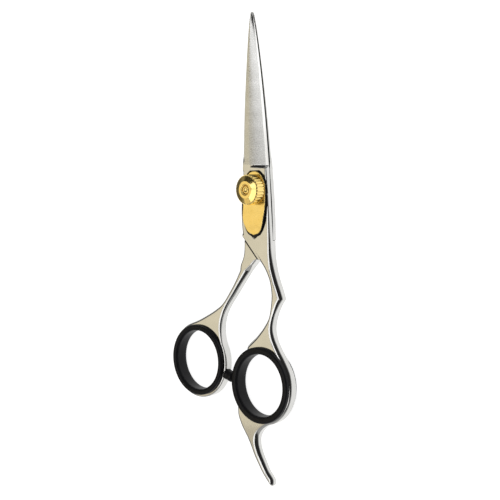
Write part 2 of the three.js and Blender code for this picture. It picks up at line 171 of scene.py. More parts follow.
THUMB_OUTER = [
    (-30.9, -45.4), (-26.9, -43.7), (-22.7, -41.7), (-18.6, -39.15), (-14.7, -34.8), (-11.8, -30.9),
    (-9.3, -26.7), (-6.9, -22.4), (-6.3, -19),
]
FINGER_RING_R = 13.8
THUMB_RING_R = 13.5
FINGER_HOLE_R = 12.0
THUMB_HOLE_R = 11.8

# The bevel along every edge, down the shears: distance, how far in from the outline it begins, and how far it
# falls.
FINGER_EDGE_SHAPE = [
    (-8, 0.35, 0.35), (8, 0.45, 0.42), (20, 0.8, 0.7), (27, 1.25, 1.0), (36, 1.3, 1.05), (42, 0.9, 0.75),
    (46, 0.95, 0.75), (52, 1.2, 0.95), (60, 1.1, 0.9), (67, 0.75, 0.65), (77, 0.6, 0.55), (81, 0.8, 0.65),
    (85, 1.35, 1.05), (88, 1.3, 1.05), (92, 1.2, 1.0), (96, 1.1, 0.95), (101, 1.05, 0.9),
]
THUMB_EDGE_SHAPE = [
    (-8, 0.2, 0.2), (16, 0.2, 0.2), (19, 0.4, 0.4), (25.5, 0.5, 0.5), (27.5, 1.3, 1.05), (30, 1.15, 0.95),
    (34, 1.0, 0.85), (38, 0.9, 0.8), (42, 0.8, 0.7), (46, 0.75, 0.65), (50, 0.6, 0.5), (53, 0.35, 0.35),
    (101, 0.3, 0.3),
]
BACK_BEVEL = 0.6  # size of the bevels on the back, against those in front
BEVEL_CHANGE = 0.6  # either side of the middle plane, where one size becomes the other
SEAM_BEVEL = 0.15  # share of the bevel that is left along the seam
SEAM_FADE = (0.3, 1.1)  # distance from the seam over which it grows to full
EDGE_ROUND = 0.32  # how far the corners either side of the bevel are rounded
INSET = 0.04  # how far in from the outline the steel stands, to stay within the CAD's box

BUMPER_ANGLE = math.radians(-19.5)
BUMPER_SEAT = (2.0, -0.55)  # radius of the seat, and its floor below the ring's outer surface

LIP_RAISED = 0.5  # how much prouder the inserts stand in front than at the back
FINGER_LIP_TRIM = 0.2  # off the lip's radius
THUMB_LIP_TRIM = 0.25
LIP_GAP = 0.12  # between the metal ring's face and the lip
EYE_T = 1.45  # of the sleeve, from the metal's hole to the eye


def insert_frame(node):
    """Centre in plan, lip radius and half height of a ring insert."""
    lo, hi = box_mm(node)
    return (lo + hi)[:2] / 2, (hi - lo)[0] / 2, (hi - lo)[2] / 2


FINGER_CENTRE, FINGER_LIP_R, INSERT_HALF = insert_frame("finger_ring_insert")
THUMB_CENTRE, THUMB_LIP_R, _ = insert_frame("thumb_ring_insert")


# ---- plan curves


def smooth(points, spacing=0.2):
    """Centripetal Catmull-Rom curve through plan points, sampled about every spacing."""
    p = [np.array(q, float) for q in points]
    p = [2 * p[0] - p[1], *p, 2 * p[-1] - p[-2]]
    out = []
    for a, b, c, d in zip(p, p[1:], p[2:], p[3:]):
        k1, k2, k3 = (math.sqrt(max(np.linalg.norm(v), 1e-6)) for v in (b - a, c - b, d - c))
        m1 = ((b - a) / k1 - (c - a) / (k1 + k2) + (c - b) / k2) * k2
        m2 = ((c - b) / k2 - (d - b) / (k2 + k3) + (d - c) / k3) * k2
        count = max(2, round(np.linalg.norm(c - b) / spacing))
        for t in np.arange(count) / count:
            out.append(
                (2 * t**3 - 3 * t**2 + 1) * b
                + (t**3 - 2 * t**2 + t) * m1
                + (3 * t**2 - 2 * t**3) * c
                + (t**3 - t**2) * m2
            )
    out.append(p[-2])
    return out


def arc(x, y, r, start, end, count):
    """Points on a circle from one angle to another, in degrees."""
    angles = np.radians(np.linspace(start, end, count + 1))
    return [(x + r * math.cos(a), y + r * math.sin(a)) for a in angles]


def finger_outline():
    x, y = FINGER_CENTRE
    long_run = [
        CROTCH, *FINGER_INNER, *arc(x, y, FINGER_RING_R, 121, 206, 10), *REST_LEFT,
        *arc(*REST_END, 250, 310, 2), *REST_RIGHT, *arc(x, y, FINGER_RING_R, -72, 14, 10),
        *FINGER_OUTER_LOW,
    ]
    spine = smooth(FINGER_SPINE_SIDE)
    edge = smooth([*FINGER_OUTER_HIGH, *FINGER_EDGE_SIDE])
    return np.array([(spine[0][0], OUTLINE_TOP), *spine, *smooth(long_run), *edge])


def thumb_outline():
    x, y = THUMB_CENTRE
    long_run = [
        CROTCH, *THUMB_INNER, *arc(x, y, THUMB_RING_R, 27, -253, 34), *THUMB_OUTER, *THUMB_EDGE_SIDE,
    ]
    spine = smooth(THUMB_SPINE_SIDE)
    return np.array([(spine[0][0], OUTLINE_TOP), *spine, *smooth(long_run)])


# ---- distance to an outline


def polygon_distance(polygon, points):
    """Signed distance from plan points to a closed polygon, above 0 inside."""
    area = np.sum(polygon[:, 0] * np.roll(polygon[:, 1], -1) - np.roll(polygon[:, 0], -1) * polygon[:, 1])
    if area < 0:
        polygon = polygon[::-1]
    count = len(polygon)
    along = np.roll(polygon, -1, 0) - polygon
    length = np.maximum(np.linalg.norm(along, axis=1, keepdims=True), 1e-9)
    inward = np.stack([-along[:, 1], along[:, 0]], 1) / length
    corner = inward + np.roll(inward, 1, 0)
    tree = kdtree.KDTree(count)
    for i, (x, y) in enumerate(polygon):
        tree.insert((x, y, 0), i)
    tree.balance()
    near = np.array([tree.find((x, y, 0))[1] for x, y in points])
    best, side = np.full(len(points), 1e9), np.ones(len(points))
    for first in ((near - 1) % count, near):
        a, ab = polygon[first], along[first]
        t = np.sum((points - a) * ab, 1) / np.maximum(np.sum(ab * ab, 1), 1e-12)
        t = np.clip(t, 0, 1)
        off = points - a - ab * t[:, None]
        d = np.linalg.norm(off, axis=1)
        normal = np.where((t > 0)[:, None] & (t < 1)[:, None], inward[first], corner[near])
        closer = d < best
        side = np.where(closer, np.sign(np.sum(off * normal, 1) + 1e-12), side)
        best = np.where(closer, d, best)
    return best * side


def plan_lookup(grid, lo, cell, x, y):
    """Cubic interpolation in a plan grid."""
    total = np.zeros(np.broadcast(x, y).shape)
    place, weights = [], []
    for value, start, size in ((x, lo[0], grid.shape[0]), (y, lo[1], grid.shape[1])):
        f = (value - start) / cell
        i = np.clip(np.floor(f).astype(int), 1, size - 3)
        t = f - i
        place.append(i)
        weights.append([
            -0.5 * t + t**2 - 0.5 * t**3,
            1 - 2.5 * t**2 + 1.5 * t**3,
            0.5 * t + 2 * t**2 - 1.5 * t**3,
            -0.5 * t**2 + 0.5 * t**3,
        ])
    for a in range(4):
        for b in range(4):
            total = total + weights[0][a] * weights[1][b] * grid[place[0] + a - 1, place[1] + b - 1]
    return total


# ---- dual contouring

SEARCH_STEPS = 6  # along each grid edge that the surface crosses, by false position and halving in turn
NORMAL_STEP = 0.01
MIDDLE_PULL = 0.06  # how strongly a point is held to the middle of its cell's crossings


def contour(polygon, field, lo, hi, cell):
    """Closed quad mesh of field(x, y, z, d) < 0, where d is the distance inside the plan polygon."""
    lo = np.array(lo, float)
    size = [int(math.ceil((b - a) / cell)) + 1 for a, b in zip(lo, hi)]
    axes = [lo[k] + cell * np.arange(size[k]) for k in range(3)]
    gx, gy = np.meshgrid(axes[0], axes[1], indexing="ij")
    plan = polygon_distance(polygon, np.stack([gx.ravel(), gy.ravel()], 1)).reshape(size[0], size[1])

    def value(p):
        return field(p[:, 0], p[:, 1], p[:, 2], plan_lookup(plan, lo, cell, p[:, 0], p[:, 1]))

    nodes = field(gx[:, :, None], gy[:, :, None], axes[2][None, None, :], plan[:, :, None])
    nodes = np.broadcast_to(nodes, size)
    inside = nodes < 0
    cells = [n - 1 for n in size]
    total = cells[0] * cells[1] * cells[2]
    sums = np.zeros((13, total))  # 6 of the normal products, 3 of the right side, 3 of the points, 1 count
    faces = []
    for axis in range(3):
        first = [slice(None)] * 3
        second = [slice(None)] * 3
        first[axis], second[axis] = slice(None, -1), slice(1, None)
        crossing = inside[tuple(first)] != inside[tuple(second)]
        index = np.argwhere(crossing)
        p0 = np.stack([axes[k][index[:, k]] for k in range(3)], 1)
        start, end = np.zeros(len(index)), np.ones(len(index))
        v0 = nodes[tuple(first)][crossing]
        v1 = nodes[tuple(second)][crossing]
        rising = v0 < 0
        step = np.zeros(3)
        step[axis] = cell
        for attempt in range(SEARCH_STEPS):
            t = (start + end) / 2
            if attempt % 2 == 0:
                t = np.clip(start + (end - start) * v0 / (v0 - v1), 0, 1)
            v = value(p0 + step * t[:, None])
            low = (v < 0) == rising
            start, v0 = np.where(low, t, start), np.where(low, v, v0)
            end, v1 = np.where(low, end, t), np.where(low, v1, v)
        t = start + (end - start) * v0 / np.where(v0 == v1, 1, v0 - v1)
        point = p0 + step * t[:, None]
        normal = np.zeros_like(point)
        for k in range(3):
            shift = np.zeros(3)
            shift[k] = NORMAL_STEP
            normal[:, k] = value(point + shift) - value(point - shift)
        normal /= np.maximum(np.linalg.norm(normal, axis=1, keepdims=True), 1e-9)
        u, w = (axis + 1) % 3, (axis + 2) % 3
        reach = np.sum(normal * point, 1)
        terms = [normal[:, i] * normal[:, j] for i, j in ((0, 0), (0, 1), (0, 2), (1, 1), (1, 2), (2, 2))]
        terms += [normal[:, i] * reach for i in range(3)] + [point[:, i] for i in range(3)]
        terms.append(np.ones(len(point)))
        corners = []
        for du, dw in ((-1, -1), (0, -1), (0, 0), (-1, 0)):
            at = index.copy()
            at[:, u] += du
            at[:, w] += dw
            flat = (at[:, 0] * cells[1] + at[:, 1]) * cells[2] + at[:, 2]
            corners.append(flat)
            for row, term in zip(sums, terms):
                row += np.bincount(flat, term, total)
        quad = np.stack(corners, 1)
        faces.append(np.where(rising[:, None], quad, quad[:, ::-1]))
    used = np.nonzero(sums[12])[0]
    xx, xy, xz, yy, yz, zz, bx, by, bz, px, py, pz, count = sums[:, used]
    middle = np.stack([px, py, pz], 1) / count[:, None]
    products = np.stack([xx, xy, xz, xy, yy, yz, xz, yz, zz], 1).reshape(-1, 3, 3)
    right = np.stack([bx, by, bz], 1) + MIDDLE_PULL * middle
    place = np.linalg.solve(products + MIDDLE_PULL * np.eye(3), right[:, :, None])[:, :, 0]
    low_corner = np.stack(np.unravel_index(used, cells), 1) * cell + lo
    place = np.clip(place, low_corner, low_corner + cell)
    number = np.full(total, -1)
    number[used] = np.arange(len(used))
    return place, number[np.concatenate(faces)]


# ---- fields of the two halves


def smoothstep(a, b, value):
    t = np.clip((value - a) / (b - a), 0, 1)
    return t * t * (3 - 2 * t)


def half_thickness(y):
    """Full at the pivot, thinner at the rings and thinnest at the end of the finger rest."""
    to_ring = HALF_T + (RING_HALF_T - HALF_T) * smoothstep(*RING_THIN_Y, -y)
    return to_ring + (REST_HALF_T - RING_HALF_T) * smoothstep(*REST_THIN_Y, -y)


def rounded_corner(a, b):
    """The larger of two distances, with the corner where they meet rounded off."""
    near = np.maximum(EDGE_ROUND - np.abs(a - b), 0)
    return np.maximum(a, b) + near * near / (4 * EDGE_ROUND)


def seam_side(corner, side, x, y):
    """Below 0 on the pivot's side of the seam from a boss's corner to the crotch."""
    along = np.array(CROTCH) - np.array(corner)
    along /= np.linalg.norm(along)
    return side * (along[1] * (x - corner[0]) - along[0] * (y - corner[1])) - SEAM_GAP


def edged_slab(x, y, z, d, shape, corner):
    """A plan shape raised to its thickness, bevelled along its edges but for the seam from its corner."""
    down, wide, deep = zip(*shape)
    past_seam = np.maximum(CROTCH[1] - y, 0)
    to_seam = np.abs(seam_side(corner, 1, x, y) + SEAM_GAP) + 2 * past_seam
    size = SEAM_BEVEL + (1 - SEAM_BEVEL) * smoothstep(*SEAM_FADE, to_seam)
    size = size * (BACK_BEVEL + (1 - BACK_BEVEL) * smoothstep(-BEVEL_CHANGE, BEVEL_CHANGE, z - MID_Z))
    wide = np.interp(-y, down, wide) * size
    deep = np.interp(-y, down, deep) * size
    d = d - INSET
    up = np.abs(z - MID_Z) - half_thickness(y)
    bevel = (deep * (wide - d) + wide * up) / np.hypot(wide, deep)
    return rounded_corner(rounded_corner(-d, bevel), up)


def cut(body, *cutter):
    """body less the region where every one of cutter is below 0."""
    region = cutter[0]
    for more in cutter[1:]:
        region = np.maximum(region, more)
    return np.maximum(body, -region)


def from_centre(x, y, centre=(0, 0)):
    return np.hypot(x - centre[0], y - centre[1])


def finger_field(pocket):
    """Distance to the finger half. pocket is below 0 where the plate's pocket is, in plan."""

    def field(x, y, z, d):
        body = edged_slab(x, y, z, d, FINGER_EDGE_SHAPE, FINGER_SPINE_SIDE[-1])
        body = cut(body, from_centre(x, y, FINGER_CENTRE) - FINGER_HOLE_R)
        body = cut(body, seam_side(THUMB_SPINE_SIDE[-1], -1, x, y), z - MID_Z - RIDE_GAP)
        body = cut(body, pocket(x, y) - np.maximum(z - FRONT_Z + POCKET_RIM, 0), POCKET_FLOOR - z)
        body = cut(body, from_centre(x, y) - BUSHING_R - BORE_GAP)
        body = cut(body, from_centre(x, y) - WASHER_R - LOOSE_GAP, z - WASHER_TOP - RIDE_GAP)
        return np.maximum(body, y - JOIN_Y)

    return field


def thumb_field(x, y, z, d):
    body = edged_slab(x, y, z, d, THUMB_EDGE_SHAPE, THUMB_SPINE_SIDE[-1])
    body = cut(body, from_centre(x, y, THUMB_CENTRE) - THUMB_HOLE_R)
    body = cut(body, seam_side(FINGER_SPINE_SIDE[-1], 1, x, y), MID_Z - RIDE_GAP - z)
    body = cut(body, from_centre(x, y) - BOLT_SHOULDER - BORE_GAP)
    body = cut(body, from_centre(x, y) - BOLT_HEAD_R - BORE_GAP, z - BOLT_HEAD_T - HEAD_GAP)
    out = math.cos(BUMPER_ANGLE) * (x - THUMB_CENTRE[0]) + math.sin(BUMPER_ANGLE) * (y - THUMB_CENTRE[1])
    off = math.cos(BUMPER_ANGLE) * (y - THUMB_CENTRE[1]) - math.sin(BUMPER_ANGLE) * (x - THUMB_CENTRE[0])
    body = cut(body, np.hypot(off, z - MID_Z) - BUMPER_SEAT[0], THUMB_RING_R + BUMPER_SEAT[1] - out)
    return np.maximum(body, y - JOIN_Y)


# ---- the leaf plate's plan

PLATE_TILT = math.radians(4)
PLATE_HALF = 5.1
PLATE_TOP = 6.2
PLATE_BOTTOM = -15.4
POCKET_MARGIN = 0.5
POCKET_POINT = 1.2  # how far the pocket's lower end runs past the plate's, to a point
POINT_SPAN = 8  # outline points either side of the end that the point takes the place of


def plate_outline(margin=0.0, point=0.0):
    """The plate from above, or its pocket: a margin all round, and a point past the lower end."""
    side = smooth([
        (PLATE_HALF, 0), (PLATE_HALF, -5.5), (PLATE_HALF - 0.15, -8.6), (PLATE_HALF - 0.9, -11.8),
        (2.6, -14.4), (0, PLATE_BOTTOM),
    ])
    head = [(x, y * PLATE_TOP / PLATE_HALF) for x, y in arc(0, 0, PLATE_HALF, 90, 0, 50)]
    right = [*head, *side]
    polygon = np.array([*right, *[(-x, y) for x, y in right[::-1]]])
    middle = (PLATE_TOP + PLATE_BOTTOM) / 2
    reach = np.hypot(polygon[:, 0], polygon[:, 1] - middle)
    polygon = polygon + margin * np.stack([polygon[:, 0], polygon[:, 1] - middle], 1) / reach[:, None]
    if point:
        low = len(right)
        tip = [(0, PLATE_BOTTOM - point)]
        polygon = np.concatenate([polygon[: low - POINT_SPAN], tip, polygon[low + POINT_SPAN :]])
    c, s = math.cos(-PLATE_TILT), math.sin(-PLATE_TILT)
    return np.stack([polygon[:, 0] * c - polygon[:, 1] * s, polygon[:, 0] * s + polygon[:, 1] * c], 1)


def pocket_field():
    """Below 0 inside the plate's pocket, in plan."""
    side, low, high = 8, -18.5, 8  # the part of the plan that is looked up, a cell or more inside the grid
    lo = (-side - 1.0, low - 1.0)
    size = (120, 190)
    xs, ys = (start + POCKET_CELL * np.arange(count) for start, count in zip(lo, size))
    gx, gy = np.meshgrid(xs, ys, indexing="ij")
    outline = plate_outline(POCKET_MARGIN, POCKET_POINT)
    grid = polygon_distance(outline, np.stack([gx.ravel(), gy.ravel()], 1)).reshape(size)

    def field(x, y):
        near = (np.abs(x) < side) & (y > low) & (y < high)
        looked = plan_lookup(grid, lo, POCKET_CELL, np.clip(x, -side, side), np.clip(y, low, high))
        return np.where(near, -looked, 1.0)

    return field


# ---- blades


def blade_half_width(y):
    late, blunt = BLADE_TAPER
    return BLADE_HALF_WIDTH * (1 - min(max(y, 0) / BLADE_TIP_Y, 1) ** late) ** blunt


def heel_y(x, y):
    """Distance from the pivot as the slanted heel counts it."""
    return y + HEEL_SLANT * (x - EDGE_SHARE * BLADE_HALF_WIDTH)


def ground_share(x, y):
    """0 on the boss, 1 where the bevel is ground to its full depth."""
    fall = min(max((heel_y(x, y) - HEEL_Y[0]) / (HEEL_Y[1] - HEEL_Y[0]), 0), 1)
    return 1 - (1 - fall) ** HEEL_CURVE


def blade_section(y, spine_x, edge_x, inset=0.0):
    """Points round the upper blade at one place, from the inner face's spine side, up and over.

    Each is (x, z, name of the face after it).
    """
    inner = MID_Z + RIDE_GAP
    along = np.clip((y - JOIN_Y) / (BLADE_TIP_Y - JOIN_Y), 0, 1)
    blade = SPINE_T[0] + (SPINE_T[1] - SPINE_T[0]) * along
    blade *= 1 - TIP_THINNED[1] * smoothstep(BLADE_TIP_Y - TIP_THINNED[0], BLADE_TIP_Y, y)
    backed = smoothstep(HEEL_Y[1], BACK_Y, y)
    width = edge_x - spine_x
    t = HALF_T - RIDE_GAP + (blade - HALF_T + RIDE_GAP) * smoothstep(JOIN_Y, HEEL_Y[1], y)
    ground = ground_share(edge_x, y)
    low = min(EDGE_T + EDGE_SLOPE * BEVEL_EDGE_SHARE * width, 0.6 * blade)
    back_r = min(0.3 - 0.12 * backed, 0.25 * width)
    edge_r = min(0.3 * (1 - ground) + 0.012, 0.25 * width)
    under = min(UNDER_CHAMFER * smoothstep(JOIN_Y, UNDER_CHAMFER_Y, y), 0.4 * blade, 0.25 * width)
    back_x = spine_x + BACK_SHARE * width + 0.2 * (1 - backed)
    facet_x = spine_x + FACET_SHARE * width
    bevel_x = edge_x - BEVEL_EDGE_SHARE * width
    top = inner + t
    back_z = top - BACK_FALL * t * backed
    edge_top = top - ground * (t - EDGE_T)
    bevel_z = top - ground_share(bevel_x, y) * (t - low)
    points = [(spine_x + under, inner, "under"), (spine_x, inner + under + 0.001, "spine")]
    turn = math.pi / 2
    for i in range(5):
        a = turn * i / 4
        points.append((
            spine_x + back_r * (1 - math.cos(a)), back_z - back_r * (1 - math.sin(a)),
            "spine" if i < 4 else "back",
        ))
    for i in range(1, 4):
        s = i / 3
        x = spine_x + back_r + (back_x - spine_x - back_r) * s
        points.append((x, back_z + (top - back_z) * s, "back" if i < 3 else "facet"))
    for i in range(1, 7):
        points.append((back_x + (facet_x - back_x) * i / 6, top, "facet"))
    for i in range(1, 17):
        s = i / 16
        x = facet_x + (bevel_x - facet_x) * s
        fallen = (s * (1 - BEVEL_ROUND) + s * s * BEVEL_ROUND) * ground_share(x, y) * (t - low)
        points.append((x, top - fallen, "facet" if i < 16 else "edge"))
    shoulder = edge_x - edge_r
    slope = (edge_top - bevel_z) / (edge_x - bevel_x)
    for i in range(1, 4):
        x = bevel_x + (shoulder - bevel_x) * i / 3
        points.append((x, bevel_z + slope * (x - bevel_x), "edge" if i < 3 else "wall"))
    last = bevel_z + slope * (shoulder - bevel_x)
    for i in range(1, 5):
        a = turn * i / 4
        points.append((shoulder + edge_r * math.sin(a), last - edge_r * (1 - math.cos(a)), "wall"))
    points.append((edge_x, inner, "inner"))
    hollow = HOLLOW[2] * smoothstep(*HOLLOW[:2], y)
    for i in range(1, 10):
        s = i / 10
        x = edge_x + (spine_x + under - edge_x) * s
        points.append((x, inner + hollow * 4 * s * (1 - s), "inner"))
    if inset:
        middle = ((spine_x + edge_x) / 2, inner + t / 2)
        points = [
            (x - inset * np.sign(x - middle[0]), z - inset * np.sign(z - middle[1]), name)
            for x, z, name in points
        ]
    return points


def blade_loft(spine_side, edge_side):
    """The finger half's blade: points, quads, and the face name of each quad."""
    spine_y = np.array([p[1] for p in spine_side])[::-1]
    spine_x = np.array([abs(p[0]) for p in spine_side])[::-1]
    edge_y = np.array([p[1] for p in edge_side])
    edge_x = np.array([abs(p[0]) for p in edge_side])
    heel = np.linspace(JOIN_Y, HEEL_Y[1] + 2.2, 65)
    run = np.sin(np.linspace(0, math.pi / 2, 150))
    stations = [*heel, *(heel[-1] + (BLADE_TIP_Y - 0.02 - heel[-1]) * run[1:])]
    sections = []
    for n, y in enumerate([JOIN_Y - 0.3, JOIN_Y, *stations]):
        half = max(blade_half_width(y), 0.1)
        root_spine = np.interp(y, spine_y, spine_x)
        root_edge = np.interp(y, edge_y, edge_x)
        spine = -(root_spine + (half - root_spine) * smoothstep(JOIN_Y, SPINE_JOINED_Y, y))
        edge = root_edge + (EDGE_SHARE * half - root_edge) * smoothstep(JOIN_Y, EDGE_JOINED_Y, y)
        inset = 0.02 if n < 2 else 0  # the first two stand inside the contoured boss
        sections.append([(x, y, z, name) for x, z, name in blade_section(y, spine, edge, inset)])
    count = len(sections[0])
    points = np.array([p[:3] for s in sections for p in s], float)
    faces, names = [], []
    for s in range(len(sections) - 1):
        for i in range(count):
            j = (i + 1) % count
            faces.append((s * count + i, s * count + j, (s + 1) * count + j, (s + 1) * count + i))
            names.append(sections[s][i][3])
    ends = [list(range(count))[::-1], [(len(sections) - 1) * count + i for i in range(count)]]
    return points, faces, names, ends


# ---- making meshes


def mesh_object(name, points, faces, materials, indices=None, sharp_deg=40):
    """A mesh object from points in millimetres, with the creases of more than sharp_deg kept sharp."""
    mesh = bpy.data.meshes.new(name)
    mesh.from_pydata((np.asarray(points) * MM).tolist(), [], [list(map(int, f)) for f in faces])
    for material in materials:
        mesh.materials.append(material)
    if indices is not None:
        mesh.polygons.foreach_set("material_index", np.asarray(indices, np.int32))
    mesh.validate()
    mesh.shade_smooth()
    mesh.set_sharp_from_angle(angle=math.radians(sharp_deg))
    mesh.update()
    piece = bpy.data.objects.new(name, mesh)
    bpy.context.scene.collection.objects.link(piece)
    return piece


def place(piece, body, slot, *nodes):
    """Says what a piece rides on and which CAD nodes it stands for; slot is not used."""
    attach(piece, body)
    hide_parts(*nodes)
    return piece


def rounded(profile, radius, steps=4):
    """A profile of [r, z] points with each inner corner turned into a small curve."""
    out = [profile[0]]
    for before, at, after in zip(profile, profile[1:], profile[2:]):
        before, at, after = (np.array(p, float) for p in (before, at, after))
        back, on = before - at, after - at
        reach = min(radius, 0.45 * np.linalg.norm(back), 0.45 * np.linalg.norm(on))
        a = at + back / max(np.linalg.norm(back), 1e-9) * reach
        b = at + on / max(np.linalg.norm(on), 1e-9) * reach
        for i in range(steps + 1):
            t = i / steps
            out.append(tuple((1 - t) ** 2 * a + 2 * t * (1 - t) * at + t * t * b))
    out.append(profile[-1])
    return out


def turned(profile, segments, closed, shape=None):
    """Points and faces of a profile turned about Z. shape(r, z, angle) may change each radius."""
    angles = 2 * math.pi * np.arange(segments) / segments
    points, faces, rings = [], [], []
    for r, z in profile:
        rings.append(len(points))
        if r < 1e-6:
            points.append((0, 0, z))
            continue
        for a in angles:
            wide = shape(r, z, a) if shape else r
            points.append((wide * math.cos(a), wide * math.sin(a), z))
    pairs = list(zip(range(len(profile)), range(1, len(profile))))
    if closed:
        pairs.append((len(profile) - 1, 0))
    for a, b in pairs:
        flat_a, flat_b = profile[a][0] < 1e-6, profile[b][0] < 1e-6
        for i in range(segments):
            j = (i + 1) % segments
            if flat_a and flat_b:
                continue
            if flat_a:
                faces.append((rings[a], rings[b] + j, rings[b] + i))
            elif flat_b:
                faces.append((rings[a] + i, rings[a] + j, rings[b]))
            else:
                faces.append((rings[a] + i, rings[a] + j, rings[b] + j, rings[b] + i))
    return np.array(points, float), faces


# ---- materials


def material(name, base, metallic, roughness):
    made = bpy.data.materials.new(name)
    made.use_nodes = True
    shader = made.node_tree.nodes["Principled BSDF"]
    shader.inputs["Base Color"].default_value = (*base, 1)
    shader.inputs["Metallic"].default_value = metallic
    shader.inputs["Roughness"].default_value = roughness
    return made, shader


def coordinates(made, stretch=(1, 1, 1)):
    """Object coordinates in units of a millimetre, stretched along the axes."""
    nodes, links = made.node_tree.nodes, made.node_tree.links
    source = nodes.new("ShaderNodeTexCoord")
    mapping = nodes.new("ShaderNodeMapping")
    mapping.inputs["Scale"].default_value = [s / MM for s in stretch]
    links.new(source.outputs["Object"], mapping.inputs["Vector"])
    return mapping.outputs["Vector"]


def noise(made, stretch=(1, 1, 1), scale=1.0, detail=3.0, roughness=0.5):
    nodes, links = made.node_tree.nodes, made.node_tree.links
    texture = nodes.new("ShaderNodeTexNoise")
    texture.inputs["Scale"].default_value = scale
    texture.inputs["Detail"].default_value = detail
    texture.inputs["Roughness"].default_value = roughness
    links.new(coordinates(made, stretch), texture.inputs["Vector"])
    return texture.outputs["Fac"]


def ramp(made, source, *stops):
    """A colour ramp of (place, colour or grey) stops."""
    node = made.node_tree.nodes.new("ShaderNodeValToRGB")
    elements = node.color_ramp.elements
    while len(elements) < len(stops):
        elements.new(0.5)
    for element, (at, color) in zip(elements, stops):
        element.position = at
        element.color = (*color, 1) if isinstance(color, tuple) else (color, color, color, 1)
    made.node_tree.links.new(source, node.inputs["Fac"])
    return node.outputs["Color"]


def bump(made, shader, source, strength, height_mm):
    node = made.node_tree.nodes.new("ShaderNodeBump")
    node.inputs["Strength"].default_value = strength
    node.inputs["Distance"].default_value = height_mm * MM
    made.node_tree.links.new(source, node.inputs["Height"])
    made.node_tree.links.new(node.outputs["Normal"], shader.inputs["Normal"])


def vary(made, shader, socket, source, *stops):
    """Drives one of the shader's sockets from a texture, through a ramp."""
    made.node_tree.links.new(ramp(made, source, *stops), shader.inputs[socket])


def polished_steel():
    """Buffed steel: faint wipe marks in the gloss and slow waves in the tone."""
    made, shader = material("polished_steel", (0.6, 0.6, 0.58), 1, 0.1)
    tone = noise(made, scale=0.14, detail=4)
    vary(made, shader, "Base Color", tone, (0.3, (0.57, 0.57, 0.55)), (0.7, (0.63, 0.625, 0.61)))
    marks = noise(made, (0.5, 6, 3), scale=1.2, detail=6, roughness=0.65)
    vary(made, shader, "Roughness", marks, (0.35, 0.07), (0.75, 0.17))
    bump(made, shader, noise(made, (5, 0.7, 5), scale=1.5, detail=5), 0.12, 0.01)
    return made


def ground_steel():
    """Satin blade steel: fine grinding lines across the blade."""
    made, shader = material("ground_steel", (0.56, 0.56, 0.54), 1, 0.28)
    tone = noise(made, (0.2, 1, 0.2), scale=0.22, detail=5)
    vary(made, shader, "Base Color", tone, (0.3, (0.52, 0.52, 0.5)), (0.7, (0.6, 0.6, 0.585)))
    lines = noise(made, (0.35, 16, 0.35), scale=1.5, detail=5, roughness=0.7)
    vary(made, shader, "Roughness", lines, (0.3, 0.2), (0.7, 0.33))
    bump(made, shader, lines, 0.16, 0.01)
    return made


def gold_metal():
    """Polished gold-coloured plating: an uneven tone, and wipe marks in the gloss."""
    made, shader = material("gold_plate", (0.89, 0.665, 0.22), 1, 0.12)
    tone = noise(made, scale=0.35, detail=5)
    vary(made, shader, "Base Color", tone, (0.3, (0.86, 0.63, 0.2)), (0.7, (0.92, 0.7, 0.26)))
    marks = noise(made, (4, 0.8, 2), scale=1.3, detail=6, roughness=0.65)
    vary(made, shader, "Roughness", marks, (0.3, 0.09), (0.75, 0.22))
    bump(made, shader, noise(made, (2, 2, 2), scale=1.4, detail=4), 0.1, 0.012)
    return made


def bolt_steel():
    """Turned steel, with fine rings left by the tool."""
    made, shader = material("pivot_steel", (0.74, 0.73, 0.71), 1, 0.24)
    nodes, links = made.node_tree.nodes, made.node_tree.links
    waves = nodes.new("ShaderNodeTexWave")
    waves.wave_type = "RINGS"
    waves.rings_direction = "Z"
    waves.inputs["Scale"].default_value = 2.6
    waves.inputs["Distortion"].default_value = 0.6
    waves.inputs["Detail"].default_value = 2
    links.new(coordinates(made), waves.inputs["Vector"])
    vary(made, shader, "Roughness", waves.outputs["Fac"], (0.2, 0.2), (0.8, 0.32))
    tone = noise(made, scale=0.8, detail=5)
    vary(made, shader, "Base Color", tone, (0.3, (0.68, 0.67, 0.65)), (0.7, (0.79, 0.78, 0.76)))
    bump(made, shader, waves.outputs["Fac"], 0.25, 0.01)
    return made


def bushing_metal():
    """Plain bearing brass, duller where it is darker."""
    made, shader = material("bushing_brass", (0.72, 0.54, 0.26), 1, 0.35)
    tone = noise(made, scale=0.9, detail=6)
    vary(made, shader, "Base Color", tone, (0.3, (0.62, 0.44, 0.2)), (0.7, (0.78, 0.6, 0.3)))
    vary(made, shader, "Roughness", tone, (0.3, 0.42), (0.7, 0.28))
    bump(made, shader, noise(made, (1, 1, 12), scale=1.0, detail=4), 0.2, 0.012)
    return made


def black_rubber():
    """Soft rubber: a fine grain, and a thin bloom that lifts the black in patches."""
    made, shader = material("black_rubber", (0.008, 0.008, 0.01), 0, 0.42)
    shader.inputs["Specular IOR Level"].default_value = 0.16
    tone = noise(made, scale=0.35, detail=6, roughness=0.6)
    vary(made, shader, "Base Color", tone, (0.3, (0.002, 0.002, 0.003)), (0.72, (0.008, 0.008, 0.01)))
    grain = noise(made, scale=4.5, detail=5, roughness=0.7)
    vary(made, shader, "Roughness", grain, (0.3, 0.33), (0.7, 0.5))
    bump(made, shader, grain, 0.18, 0.02)
    return made


